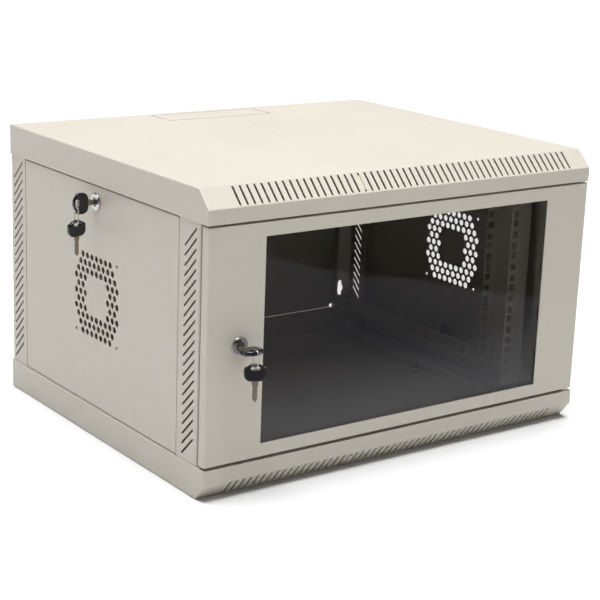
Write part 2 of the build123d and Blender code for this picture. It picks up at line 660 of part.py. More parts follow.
def rail_bolts_and_nuts():
    """Bolts and nuts of the 19-inch rails and of the side rails' ends, on both sides."""
    bolts, nuts = [], []
    ends = [(y, BEAM_X, POST_INNER + POST_SHEET) for y in beam_end_bolts()]
    middles = [(y, BEAM_X - RAIL_SHEET, POST_INNER) for y in rail_bolt_rows()]
    for y, seat, nut_seat in ends + middles:
        for z in (BEAM_MID, HEIGHT - BEAM_MID):
            for sign in (-1, 1):
                tip = nut_seat + M6_NUT_HEIGHT + 1
                head = hex_bar(M6_HEAD_ACROSS, 0, (sign * seat, y, z), (sign * (seat - M6_HEAD_HEIGHT), y, z))
                bolts.append(head + cylinder_between(M6_RADIUS, (sign * (seat - 1), y, z), (sign * tip, y, z)))
                start, end = (sign * nut_seat, y, z), (sign * (nut_seat + M6_NUT_HEIGHT), y, z)
                nuts.append(hex_bar(M6_HEAD_ACROSS, M6_RADIUS + M6_TAPPED_GAP, start, end))
    return group(bolts), group(nuts)


# ---------------------------------------------------------------- back panel
def back_screw_rows():
    """Heights of the back panel's side screws."""
    return (KEYHOLE_FROM_END + 2 * KEYHOLE_RADIUS, HEIGHT - KEYHOLE_FROM_END - 2 * KEYHOLE_RADIUS)


def back_screw_y():
    """Front-to-back place of the back panel's side screws."""
    return POST_BACK - BACK_FOLD / 2


def back_panel():
    """A flat sheet between the rear posts, folded forward along both sides, with relieved corners."""
    half = POST_INNER - BACK_SIDE_GAP
    low, high = LEDGE_TOP + BACK_GAP, HEIGHT - LEDGE_TOP - BACK_GAP
    panel = block((-half, half), (POST_BACK - BACK_FOLD, POST_BACK), (low, high))
    inner = (-half + PANEL_SHEET, half - PANEL_SHEET)
    panel -= block(inner, (POST_BACK - BACK_FOLD - 1, POST_BACK - PANEL_SHEET), (low - 1, high + 1))
    for sign in (-1, 1):
        for z in (low, high):
            corner = both(half - BACK_RELIEF, half + 1, sign)
            deep = (POST_BACK - BACK_FOLD - 1, POST_BACK + 1)
            panel -= block(corner, deep, (z - BACK_RELIEF, z + BACK_RELIEF))
    for row in back_screw_rows():
        start = (-half - 1, back_screw_y(), row)
        panel -= cylinder_between(SCREW_HOLE, start, (half + 1, back_screw_y(), row))
    return panel


def back_screws():
    """Four screws through the back panel's folds into the rear posts."""
    pieces = []
    seat = POST_INNER - BACK_SIDE_GAP - PANEL_SHEET
    for sign in (-1, 1):
        for z in back_screw_rows():
            depths = (seat - SCREW_HEAD_HEIGHT, seat, seat - 1, seat + SCREW_LENGTH)
            top, under, neck, tip = [(sign * x, back_screw_y(), z) for x in depths]
            head = cylinder_between(SCREW_HEAD_RADIUS, top, under)
            pieces.append(head + cylinder_between(SCREW_RADIUS, neck, tip))
    return group(pieces)


# ---------------------------------------------------------------- side panel
def fan_holes():
    """The round holes of the fan grille, in the plane of the panel, as (along, up) pairs."""
    holes = []
    rows = len(FAN_ROWS)
    for number, (count, blank) in enumerate(FAN_ROWS):
        up = ((rows - 1) / 2 - number) * FAN_HOLE_PITCH * sin(radians(60))
        for index in range(count):
            place = index - (count - 1) / 2
            if abs(place) >= blank / 2:
                holes.append((place * FAN_HOLE_PITCH, up))
    return holes


def lock_opening(plane, depth):
    """The hole with two flats that a lock's body passes through."""
    radius, flat = LOCK_BODY_RADIUS + LOCK_HOLE_GAP, LOCK_FLAT + LOCK_HOLE_GAP
    outline = Circle(radius) & Rectangle(2 * flat, 2 * radius + 1)
    return extrude(plane * outline, amount=depth, both=True)


def side_panel():
    """The left-hand side panel, with its lock near the top and two tabs at the bottom."""
    outer = (-POST_FACE, -POST_FACE + PANEL_FOLD)
    panel = block(outer, (PANEL_FRONT, PANEL_BACK), (PANEL_LOW, PANEL_HIGH))
    panel = fillet(panel.edges().group_by(Axis.X)[0], PANEL_SHEET)
    inner = (-POST_FACE + PANEL_SHEET, -POST_FACE + PANEL_FOLD + 1)
    inside_y = (PANEL_FRONT + PANEL_SHEET, PANEL_BACK - PANEL_SHEET)
    panel -= block(inner, inside_y, (PANEL_LOW + PANEL_SHEET, PANEL_HIGH - PANEL_SHEET))
    tab_x = (-POST_FACE + PANEL_TAB_INSET, -POST_FACE + PANEL_TAB_INSET + PANEL_SHEET)
    for y in (PANEL_MID_Y - PANEL_TAB_SPREAD / 2, PANEL_MID_Y + PANEL_TAB_SPREAD / 2):
        tab_y = (y - PANEL_TAB_WIDTH / 2, y + PANEL_TAB_WIDTH / 2)
        panel += block(tab_x, tab_y, (PANEL_LOW - PANEL_TAB_LENGTH, PANEL_LOW + PANEL_SHEET / 2))
    face = Plane(Vector(-POST_FACE, PANEL_MID_Y, MID_Z), x_dir=Vector(0, 1, 0), z_dir=Vector(1, 0, 0))
    holes = [face * Pos(*place) * Circle(FAN_HOLE_RADIUS) for place in fan_holes()]
    half = FAN_SCREW_SPAN / 2
    holes += [face * Pos(x, y) * Circle(FAN_SCREW_RADIUS) for x in (-half, half) for y in (-half, half)]
    panel -= [extrude(hole, amount=2 * PANEL_SHEET, both=True) for hole in holes]
    return panel - lock_opening(panel_lock_plane(), 2 * PANEL_SHEET)


# ---------------------------------------------------------------- lock, in its own frame: +Z outwards
def panel_lock_plane():
    """The left panel lock's frame: its cam points backwards while it is open."""
    origin = Vector(-POST_FACE, PANEL_MID_Y, PANEL_LOCK_Z)
    return Plane(origin, x_dir=Vector(0, 1, 0), z_dir=Vector(-1, 0, 0))


def door_lock_plane():
    """The door lock's frame: its cam points upwards while it is open."""
    return Plane(Vector(DOOR_LOCK_X, FRONT, DOOR_MID), x_dir=Vector(0, 0, 1), z_dir=Vector(0, -1, 0))


def lock_barrel():
    """Head and flatted body of a cam lock, bored for its plug."""
    head = extrude(Circle(LOCK_HEAD_RADIUS), amount=LOCK_HEAD_HEIGHT)
    head = fillet(head.edges().sort_by(Axis.Z)[-1], LOCK_HEAD_HEIGHT * 0.45)
    outline = Circle(LOCK_BODY_RADIUS) & Rectangle(2 * LOCK_FLAT, 2 * LOCK_BODY_RADIUS + 1)
    barrel = head + extrude(outline, amount=-LOCK_BODY_LENGTH)
    bore = extrude(Circle(PLUG_RADIUS + PLUG_GAP), amount=-LOCK_BODY_LENGTH - 1)
    return barrel - bore - extrude(Circle(PLUG_RADIUS + PLUG_GAP), amount=LOCK_HEAD_HEIGHT + 1)


def lock_nut(sheet):
    """The flat nut that clamps a lock's body in its sheet."""
    bore = LOCK_BODY_RADIUS + M6_TAPPED_GAP
    return hex_bar(LOCK_NUT_ACROSS, bore, (0, 0, -sheet), (0, 0, -sheet - LOCK_NUT_HEIGHT))


def lock_plug(standoff):
    """The turning plug, with its key slot in front and a square end for the cam."""
    front = LOCK_HEAD_HEIGHT - PLUG_RECESS
    plug = cylinder_between(PLUG_RADIUS, (0, 0, -CAM_DEPTH), (0, 0, front))
    square = (-CAM_SQUARE / 2, CAM_SQUARE / 2)
    end = -CAM_DEPTH - CAM_SHEET
    plug += block(square, square, (end, -LOCK_BODY_LENGTH))
    thick = KEY_BLADE_THICKNESS / 2 + KEY_SLOT_GAP
    wide = KEY_BLADE_WIDTH / 2 + KEY_SLOT_GAP
    tip = standoff - KEY_BLADE_LENGTH - 2 * KEY_SLOT_GAP
    plug -= block((-thick, thick), (-wide, wide), (tip, front + 1))
    tapped = CAM_SCREW_RADIUS + M6_TAPPED_GAP
    return plug - cylinder_between(tapped, (0, 0, end - 1), (0, 0, end + CAM_SCREW_LENGTH))


def lock_cam(tongue_depth):
    """The cam: a hub on the plug's square and a tongue, cranked forward if it lies less deep."""
    half = CAM_WIDTH / 2
    hub = (-CAM_DEPTH - CAM_SHEET, -CAM_DEPTH)
    tongue = (-tongue_depth - CAM_SHEET, -tongue_depth)
    cam = cylinder_between(half, (0, 0, hub[0]), (0, 0, hub[1]))
    cam += block((0, CAM_CRANK_AT + CAM_SHEET), (-half, half), hub)
    cam += block((CAM_CRANK_AT, CAM_CRANK_AT + CAM_SHEET), (-half, half), (hub[0], tongue[1]))
    cam += block((CAM_CRANK_AT, CAM_LENGTH), (-half, half), tongue)
    square = CAM_SQUARE / 2 + 0.05
    cam -= block((-square, square), (-square, square), (hub[0] - 1, hub[1] + 1))
    tip = cam.edges().filter_by(Axis.Z).group_by(Axis.X)[-1]
    return fillet(tip, half / 2)


def cam_screw():
    """The screw that holds the cam on the plug."""
    seat = -CAM_DEPTH - CAM_SHEET
    head = cylinder_between(CAM_SCREW_HEAD_RADIUS + 1, (0, 0, seat - CAM_SCREW_HEAD_HEIGHT), (0, 0, seat))
    return head + cylinder_between(CAM_SCREW_RADIUS, (0, 0, seat - 1), (0, 0, seat + CAM_SCREW_LENGTH - 1))


# ---------------------------------------------------------------- key, in its own frame: blade down -Z
def key_blade():
    """A double-bitted flat blade whose root is buried in the bow."""
    half = KEY_BLADE_WIDTH / 2
    step = (KEY_BLADE_LENGTH - 2 * KEY_SHOULDER) / KEY_BITS
    right = [(half, BLADE_ROOT), (half, -KEY_SHOULDER)]
    for bit in range(KEY_BITS):
        z = -KEY_SHOULDER - bit * step
        deep = half - KEY_BIT_DEPTH * (1 if bit % 2 else 0.6)
        right += [(deep, z - step * 0.45), (half - KEY_BIT_DEPTH / 2, z - step)]
    right.append((half / 4, -KEY_BLADE_LENGTH))
    left = [(-y, z) for y, z in reversed(right)]
    outline = make_face(Polyline(*right, *left, close=True))
    return extrude(Plane.YZ * outline, amount=KEY_BLADE_THICKNESS / 2, both=True)


def key_bow():
    """The moulded bow: square at the blade, domed at its far end, with an oblong hole for a ring."""
    half = BOW_WIDTH / 2
    low = make_face(
        Polyline((-half, 0), (half, 0)) + ThreePointArc((half, 0), (0, BOW_HEIGHT), (-half, 0))
    )
    tall = Pos(0, BOW_HEIGHT / 2) * RectangleRounded(BOW_WIDTH, BOW_HEIGHT, BOW_CORNER)
    dome = Pos(0, BOW_HEIGHT - half - 1.0) * Ellipse(half, half + 1.0) + Pos(0, BOW_CORNER) * Rectangle(
        BOW_WIDTH, 2 * BOW_CORNER
    )
    outline = tall & (low + dome)
    body = extrude(Plane.YZ * outline, amount=BOW_THICKNESS / 2, both=True)
    body = fillet(body.edges().group_by(Axis.X)[0] + body.edges().group_by(Axis.X)[-1], BOW_EDGE)
    slot_z = BOW_HEIGHT - BOW_RIM - BOW_SLOT_WIDTH / 2
    slot = Pos(0, slot_z) * SlotOverall(BOW_SLOT_LENGTH, BOW_SLOT_WIDTH)
    body -= extrude(Plane.YZ * slot, amount=BOW_THICKNESS, both=True)
    thick, wide = KEY_BLADE_THICKNESS / 2, KEY_BLADE_WIDTH / 2
    return body - block((-thick, thick), (-wide, wide), (-1, BLADE_ROOT))


def ring(top):
    """An oval wire loop in the YZ plane, hanging down from the given top of its wire's centre line."""
    path = Plane.YZ * Pos(0, -RING_HEIGHT / 2) * SlotOverall(RING_HEIGHT, 2 * RING_HALF_WIDTH, rotation=90)
    wire = path.face().outer_wire()
    start = wire @ 0
    section = Plane(start, z_dir=wire % 0) * Circle(RING_WIRE)
    return Pos(*top) * sweep(section, path=wire)


def ring_rise(half):
    """Height of a ring's centre line over a flat rim, of the given half width, that it rests on."""
    inner = RING_HALF_WIDTH - RING_WIRE
    return RING_WIRE + FIT_GAP + inner - sqrt(inner**2 - half**2)


def hanging_key(shape, ring_top, turn):
    """A key piece hung on the bottom of its ring, blade down, turned about the upright from facing front."""
    half = (BOW_THICKNESS / 2 + RING_WIRE * abs(sin(radians(turn)))) / cos(radians(turn))
    rim_z = ring_top[2] - RING_HEIGHT + ring_rise(half)
    lift = rim_z + BOW_RIM - BOW_HEIGHT
    return Pos(ring_top[0], ring_top[1], lift) * Rot(0, 0, 90 + turn) * shape


# ---------------------------------------------------------------- door
def window_ranges():
    """The door window's width and height."""
    x = (DOOR_LOCK_X + WINDOW_FROM_LOCK, DOOR_HALF - DOOR_BORDER_HINGE)
    return x, (DOOR_LOW + DOOR_BORDER_END, DOOR_HIGH - DOOR_BORDER_END)


def clip_places():
    """Centres of the studs that hold the glass clips, as (x, z, side)."""
    (left, right), _ = window_ranges()
    out = GLASS_LAP + CLIP_FOOT / 2
    rows = [DOOR_MID + (row - (CLIP_ROWS - 1) / 2) * CLIP_PITCH for row in range(CLIP_ROWS)]
    return [(x, z, sign) for x, sign in ((left - out, -1), (right + out, 1)) for z in rows]


def hinge_guide(z):
    """A small bracket inside the door that guides a hinge pin."""
    x = (HINGE_X - GUIDE_WIDTH / 2, DOOR_HALF - DOOR_SHEET / 2)
    return block(x, (FRONT + DOOR_SHEET / 2, FRONT + DOOR_SHEET + GUIDE_LENGTH), (z, z + GUIDE_SHEET))


def guide_low():
    """Height of the upper pin's guide bracket."""
    return DOOR_HIGH - GUIDE_DROP


def door_frame():
    """The door's folded steel frame round its window."""
    frame = block((-DOOR_HALF, DOOR_HALF), (FRONT, DOOR_BACK), (DOOR_LOW, DOOR_HIGH))
    rounded = frame.edges().filter_by(Axis.Z) + frame.edges().filter_by(Axis.X)
    frame = fillet(rounded, BEND_RADIUS)
    inner_x = (-DOOR_HALF + DOOR_SHEET, DOOR_HALF - DOOR_SHEET)
    inner_z = (DOOR_LOW + DOOR_SHEET, DOOR_HIGH - DOOR_SHEET)
    frame -= block(inner_x, (FRONT + DOOR_SHEET, DOOR_BACK - DOOR_SHEET), inner_z)
    open_x = (-DOOR_HALF + DOOR_FOLD, DOOR_HALF - DOOR_FOLD)
    open_z = (DOOR_LOW + DOOR_FOLD, DOOR_HIGH - DOOR_FOLD)
    frame -= block(open_x, (DOOR_BACK - 2 * DOOR_SHEET, DOOR_BACK + 1), open_z)
    x, z = window_ranges()
    frame -= block(x, (FRONT - 1, FRONT + 2 * DOOR_SHEET), z)
    for stud_x, stud_z, _ in clip_places():
        start = (stud_x, FRONT + DOOR_SHEET / 2, stud_z)
        end = (stud_x, FRONT + DOOR_SHEET + CLIP_STUD_LENGTH, stud_z)
        frame += cylinder_between(CLIP_STUD_RADIUS, start, end)
    frame += hinge_guide(guide_low())
    frame += hinge_guide(DOOR_LOW + GUIDE_LENGTH)
    hole = PIN_RADIUS + GUIDE_GAP
    frame -= cylinder_between(hole, (HINGE_X, HINGE_Y, guide_low() - 1), (HINGE_X, HINGE_Y, DOOR_HIGH + 1))
    lower = (HINGE_X, HINGE_Y, DOOR_LOW + GUIDE_LENGTH + GUIDE_SHEET + 1)
    frame -= cylinder_between(hole, (HINGE_X, HINGE_Y, DOOR_LOW - 1), lower)
    return frame - lock_opening(door_lock_plane(), 2 * DOOR_SHEET)


def door_glass():
    """The toughened pane behind the window."""
    (x, (low, high)) = window_ranges()
    front = FRONT + DOOR_SHEET + TAPE_THICKNESS
    span = (x[0] - GLASS_LAP, x[1] + GLASS_LAP)
    return block(span, (front, front + GLASS_THICKNESS), (low - GLASS_LAP, high + GLASS_LAP))


def glass_tape():
    """The foam tape between the frame and the glass, all round the window."""
    (x, (low, high)) = window_ranges()
    front = FRONT + DOOR_SHEET
    outer_x = (x[0] - GLASS_LAP, x[1] + GLASS_LAP)
    tape = block(outer_x, (front, front + TAPE_THICKNESS), (low - GLASS_LAP, high + GLASS_LAP))
    return tape - block((x[0] - 1, x[1] + 1), (front - 1, front + 2), (low - 1, high + 1))


def glass_clips_and_nuts():
    """Stepped clips on the frame's studs, which hold the glass's side edges, with their nuts."""
    clips, nuts = [], []
    face = FRONT + DOOR_SHEET
    over = face + TAPE_THICKNESS + GLASS_THICKNESS
    for x, z, sign in clip_places():
        tall = (z - CLIP_WIDTH / 2, z + CLIP_WIDTH / 2)
        near = sign * x - CLIP_FOOT / 2 + FIT_GAP
        far = sign * x + CLIP_FOOT / 2
        clip = block(both(near, far, sign), (face, face + CLIP_SHEET), tall)
        clip += block(both(near, near + CLIP_SHEET, sign), (face, over + CLIP_SHEET), tall)
        clip += block(both(near - CLIP_LAP, near + CLIP_SHEET, sign), (over, over + CLIP_SHEET), tall)
        hole = SCREW_HOLE + FIT_GAP
        clips.append(clip - cylinder_between(hole, (x, face - 1, z), (x, face + 3, z)))
        seat = face + CLIP_SHEET
        bore = CLIP_STUD_RADIUS + M6_TAPPED_GAP
        nuts.append(hex_bar(M4_NUT_ACROSS, bore, (x, seat, z), (x, seat + M4_NUT_HEIGHT, z)))
    return group(clips), group(nuts)


# ---------------------------------------------------------------- hinge pieces
def hinge_bush():
    """A flanged plastic bush in the bottom cover's front ledge."""
    bore = PIN_RADIUS + PIN_RUNNING_GAP
    low = LEDGE_TOP - COVER_SHEET - BUSH_TAIL
    bush = cylinder_between(bore + BUSH_WALL - PIN_RUNNING_GAP, (0, 0, low), (0, 0, LEDGE_TOP))
    flange = (0, 0, LEDGE_TOP + BUSH_FLANGE_HEIGHT)
    bush += cylinder_between(bore + BUSH_WALL + BUSH_FLANGE, (0, 0, LEDGE_TOP), flange)
    bush -= cylinder_between(bore, (0, 0, low - 1), (0, 0, LEDGE_TOP + BUSH_FLANGE_HEIGHT + 1))
    return Pos(HINGE_X, HINGE_Y, 0) * bush


def lower_pin():
    """The fixed lower hinge pin, with the collar that the door stands on."""
    low = LEDGE_TOP - PIN_ENGAGEMENT
    high = DOOR_LOW + GUIDE_LENGTH + GUIDE_SHEET + 1
    collar = (LEDGE_TOP + BUSH_FLANGE_HEIGHT + GUIDE_GAP, DOOR_LOW)
    pin = cylinder_between(PIN_RADIUS, (0, 0, low), (0, 0, high))
    pin = chamfer(pin.edges().sort_by(Axis.Z)[0], PIN_RADIUS / 4)
    pin += cylinder_between(PIN_RADIUS + PIN_COLLAR, (0, 0, collar[0]), (0, 0, collar[1]))
    return Pos(HINGE_X, HINGE_Y, 0) * pin


def upper_collar():
    """Low and high faces of the upper pin's collar."""
    low = guide_low() + GUIDE_SHEET + 2 * PIN_TRAVEL
    return low, low + 2.0


def upper_pin():
    """The sprung upper hinge pin, with its collar and the finger bar that draws it down."""
    low = guide_low() - PIN_TAIL
    high = HEIGHT - LEDGE_TOP + PIN_ENGAGEMENT
    pin = cylinder_between(PIN_RADIUS, (0, 0, low), (0, 0, high))
    pin = chamfer(pin.edges().sort_by(Axis.Z)[-1], PIN_RADIUS / 4)
    base, top = upper_collar()
    pin += cylinder_between(PIN_RADIUS + PIN_COLLAR, (0, 0, base), (0, 0, top))
    bar = top + PIN_HANDLE_RADIUS + FIT_GAP
    pin += cylinder_between(PIN_HANDLE_RADIUS, (0, 0, bar), (-PIN_HANDLE_REACH, 0, bar))
    return Pos(HINGE_X, HINGE_Y, 0) * pin


def hinge_spring():
    """The spring that keeps the upper pin up."""
    base, _ = upper_collar()
    low = guide_low() + GUIDE_SHEET + SPRING_WIRE + 0.05
    high = base - SPRING_WIRE - 0.05
    line = Helix((high - low) / SPRING_TURNS, high - low, SPRING_RADIUS)
    section = Plane(line @ 0, z_dir=line % 0) * Circle(SPRING_WIRE)
    return Pos(HINGE_X, HINGE_Y, low) * sweep(section, path=line, is_frenet=True)


def earth_stud_and_nut():
    """The earthing stud on the floor and its nut."""
    base = (EARTH_X, EARTH_Y, COVER_SHEET)
    stud = cylinder_between(M6_RADIUS, base, (EARTH_X, EARTH_Y, COVER_SHEET + EARTH_LENGTH))
    low = COVER_SHEET + EARTH_FLANGE
    stud += cylinder_between(M6_RADIUS * 1.8, base, (EARTH_X, EARTH_Y, low))
    high = (EARTH_X, EARTH_Y, low + M6_NUT_HEIGHT)
    nut = hex_bar(M6_HEAD_ACROSS, M6_RADIUS + M6_TAPPED_GAP, (EARTH_X, EARTH_Y, low), high)
    return stud, nut


# ---------------------------------------------------------------- assembly
def lock_nodes(name, plane, sheet, tongue_depth, standoff):
    """The five pieces of one lock, placed on its plane."""
    pieces = {
        "lock_barrel": lock_barrel(),
        "lock_nut": lock_nut(sheet),
        "lock_plug": lock_plug(standoff),
        "lock_cam": lock_cam(tongue_depth),
        "cam_screw": cam_screw(),
    }
    return {f"{name}_{piece}": plane.location * shape for piece, shape in pieces.items()}


def key_nodes(name, plane, standoff, ring_top, turn):
    """One lock's inserted key, its wire ring and the spare key on it."""
    inserted = plane.location * Pos(0, 0, standoff)
    return {
        f"{name}_key_blade": inserted * key_blade(),
        f"{name}_key_bow": inserted * key_bow(),
        f"{name}_key_ring": ring(ring_top),
        f"{name}_spare_blade": hanging_key(key_blade(), ring_top, turn),
        f"{name}_spare_bow": hanging_key(key_bow(), ring_top, turn),
    }


def door_ring_top():
    """Top of the door ring's centre line: over the rim of the level bow."""
    y = FRONT - DOOR_KEY_STANDOFF - BOW_HEIGHT + BOW_RIM / 2
    return (DOOR_LOCK_X, y, DOOR_MID + BOW_THICKNESS / 2 + ring_rise(BOW_RIM / 2))


def panel_ring_top():
    """Top of the side ring's centre line: in the lower end of the upright bow's hole."""
    x = -POST_FACE - PANEL_KEY_STANDOFF - BOW_HEIGHT + BOW_RIM + BOW_SLOT_WIDTH / 2
    z = PANEL_LOCK_Z - BOW_SLOT_LENGTH / 2 + ring_rise(BOW_THICKNESS / 2)
    return (x, PANEL_MID_Y, z)


def build():
    """Every node of the cabinet, by name."""
    nodes = {}
    bottom = folded_cover(BOTTOM_CHAMFER_RUN, BOTTOM_CHAMFER_RISE, 0)
    nodes["bottom_cover"] = bottom
    nodes["top_cover"] = turn_over(folded_cover(TOP_CHAMFER_RUN, TOP_CHAMFER_DROP, TOP_VENT_SHIFT))
    nodes["bottom_entry_plate"] = entry_plate()
    nodes["top_entry_plate"] = turn_over(entry_plate())
    nodes["chamfer_stay"] = chamfer_stay()

    nodes["floor_runners"] = runners()
    nodes["roof_runners"] = turn_over(runners())
    nodes["runner_bolts"] = group(runner_fixings() + [turn_over(piece) for piece in runner_fixings()])
    nodes["post_front_right"] = turn_over(front_post(with_strike=False))
    nodes["post_front_left"] = to_left(front_post(with_strike=True))
    nodes["post_rear_right"] = turn_over(rear_post())
    nodes["post_rear_left"] = to_left(rear_post())
    beam = side_rail()
    nodes["side_rail_bottom_right"] = beam
    nodes["side_rail_bottom_left"] = to_left(beam)
    nodes["side_rail_top_right"] = turn_over(beam)
    nodes["side_rail_top_left"] = turn_over(to_left(beam))
    nodes["rack_rail_right"] = rack_rail()
    nodes["rack_rail_left"] = to_left(rack_rail())
    nodes["rail_bolts"], nodes["rail_nuts"] = rail_bolts_and_nuts()
    nodes["back_panel"] = back_panel()
    nodes["back_screws"] = back_screws()
    stud, earth_nut = earth_stud_and_nut()
    nodes["earth_stud"] = stud
    nodes["stud_nuts"] = group(entry_nuts() + [turn_over(nut) for nut in entry_nuts()] + [earth_nut])
    nodes["hinge_bushes"] = group([hinge_bush(), turn_over(hinge_bush())])

    nodes["door_frame"] = door_frame()
    nodes["door_glass"] = door_glass()
    nodes["glass_tape"] = glass_tape()
    nodes["glass_clips"], nodes["clip_nuts"] = glass_clips_and_nuts()
    nodes["hinge_pin_lower"] = lower_pin()
    nodes["hinge_pin_upper"] = upper_pin()
    nodes["hinge_spring"] = hinge_spring()
    nodes |= lock_nodes("door", door_lock_plane(), DOOR_SHEET, CAM_DEPTH, DOOR_KEY_STANDOFF)
    nodes |= key_nodes("door", door_lock_plane(), DOOR_KEY_STANDOFF, door_ring_top(), DOOR_SPARE_TURN)

    nodes["side_panel_left"] = side_panel()
    left_lock = lock_nodes("left", panel_lock_plane(), PANEL_SHEET, PANEL_CAM_DEPTH, PANEL_KEY_STANDOFF)
    nodes |= left_lock
    nodes |= key_nodes("left", panel_lock_plane(), PANEL_KEY_STANDOFF, panel_ring_top(), PANEL_SPARE_TURN)
    nodes["side_panel_right"] = flip(side_panel())
    nodes |= {name.replace("left", "right"): flip(shape) for name, shape in left_lock.items()}
    return nodes


os.makedirs("parts", exist_ok=True)
for node, shape in build().items():
    export_step(shape, f"parts/{node}.step")
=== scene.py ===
from math import cos, radians, sin

import bmesh
import bpy
from mathutils import Matrix, Vector


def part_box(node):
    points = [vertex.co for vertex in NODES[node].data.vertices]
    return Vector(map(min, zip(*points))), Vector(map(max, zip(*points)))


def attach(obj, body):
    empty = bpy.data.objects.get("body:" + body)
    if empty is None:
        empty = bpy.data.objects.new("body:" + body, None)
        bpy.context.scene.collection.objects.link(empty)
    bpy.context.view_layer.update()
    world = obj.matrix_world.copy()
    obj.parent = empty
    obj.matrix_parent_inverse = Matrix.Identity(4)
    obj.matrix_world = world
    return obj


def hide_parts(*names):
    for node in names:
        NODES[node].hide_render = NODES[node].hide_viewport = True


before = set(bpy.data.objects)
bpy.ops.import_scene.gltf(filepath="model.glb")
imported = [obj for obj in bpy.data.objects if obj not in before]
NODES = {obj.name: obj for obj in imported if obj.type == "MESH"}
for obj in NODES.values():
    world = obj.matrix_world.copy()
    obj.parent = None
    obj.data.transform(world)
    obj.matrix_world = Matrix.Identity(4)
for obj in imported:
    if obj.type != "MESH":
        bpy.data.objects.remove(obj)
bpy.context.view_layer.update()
CAMERA_PLACE = (-1.23694, -1.69629, 0.72799)
CAMERA_ANGLES = (-35.99, 15.254, 2.036)  # azimuth, elevation and roll in degrees
LENS = 95.04
SENSOR = 36.0
SHIFT = (0.01915, -0.01012)
OVERHEAD_SPREAD = 42.0  # apparent size of the overhead light in degrees
OVERHEAD_TILT = (-2.0, -2.0, 0.0)
OVERHEAD_COLOUR = (0.99, 0.995, 1.025)
FILL_SIZE = 1.4
FILL_PLACE = (0.7, -2.3, 1.0)
FILL_TARGET = (0.0, 0.0, 0.15)
FILL_COLOUR = (1.0, 0.97, 0.9)
ROOM_COLOUR = (1.0, 0.99, 0.97, 1.0)

bl_info = {
    "name": "Wall rack cabinet",
    "version": (1, 0, 0),
    "blender": (4, 5, 0),
    "location": "3D View > Sidebar > Rack cabinet",
    "description": "Finishes and small hardware of a wall-mount rack cabinet",
    "category": "Object",
}

COATED = (
    "top_cover top_entry_plate chamfer_stay bottom_cover bottom_entry_plate post_front_left post_front_right "
    "post_rear_left post_rear_right back_panel floor_runners roof_runners side_rail_bottom_left "
    "side_rail_bottom_right side_rail_top_left side_rail_top_right rack_rail_left rack_rail_right "
    "door_frame side_panel_left side_panel_right"
).split()
ZINC = (
    "rail_bolts rail_nuts runner_bolts back_screws stud_nuts glass_clips clip_nuts "
    "hinge_pin_lower hinge_pin_upper hinge_spring "
    "door_lock_nut left_lock_nut right_lock_nut "
    "door_cam_screw left_cam_screw right_cam_screw "
    "door_lock_cam left_lock_cam right_lock_cam "
    "door_key_ring left_key_ring"
).split()
CHROME = "door_lock_barrel left_lock_barrel right_lock_barrel".split()
PLUGS = "door_lock_plug left_lock_plug right_lock_plug".split()
BOWS = "door_key_bow left_key_bow door_spare_bow left_spare_bow".split()
BLADES = "door_key_blade left_key_blade door_spare_blade left_spare_blade".split()
CLOTH_FADE = (0.35, 0.68)  # distances in front of the cabinet's middle between which the grey cloth darkens
CLOTH_PALE = (0.6, 0.61, 0.64, 1.0)
CLOTH_GREY = (0.15, 0.15, 0.175, 1.0)
CLOTH_BLACK = (0.004, 0.004, 0.004, 1.0)
NEAR_CLOTH = (  # outline of the grey cloth in front of the cabinet
    (-3.0, -0.25), (9.0, -0.25), (9.0, -9.0), (-3.0, -9.0),
)
FAR_CLOTH = (  # outline of the dark cloth beyond it, whose near edge the pane mirrors
    (0.44, -1.3), (0.457, -1.14), (0.49, -1.04), (0.535, -0.975), (0.59, -0.91), (0.64, -0.8), (0.8, -0.5),
    (9.0, -0.5), (9.0, -9.0), (-3.0, -9.0),
)


# ---------------------------------------------------------------- shader maths
class Wire:
    """A number inside a material, which Python's arithmetic works on."""

    def __init__(self, finish, socket):
        self.finish = finish
        self.socket = socket

    def _math(self, operation, first, second):
        return self.finish.node("Math", {"operation": operation}, {0: first, 1: second})["Value"]

    def __add__(self, other):
        return self._math("ADD", self, other)

    def __radd__(self, other):
        return self._math("ADD", other, self)

    def __rsub__(self, other):
        return self._math("SUBTRACT", other, self)

    def __mul__(self, other):
        return self._math("MULTIPLY", self, other)

    def __rmul__(self, other):
        return self._math("MULTIPLY", other, self)

    def __pow__(self, other):
        return self._math("POWER", self, other)


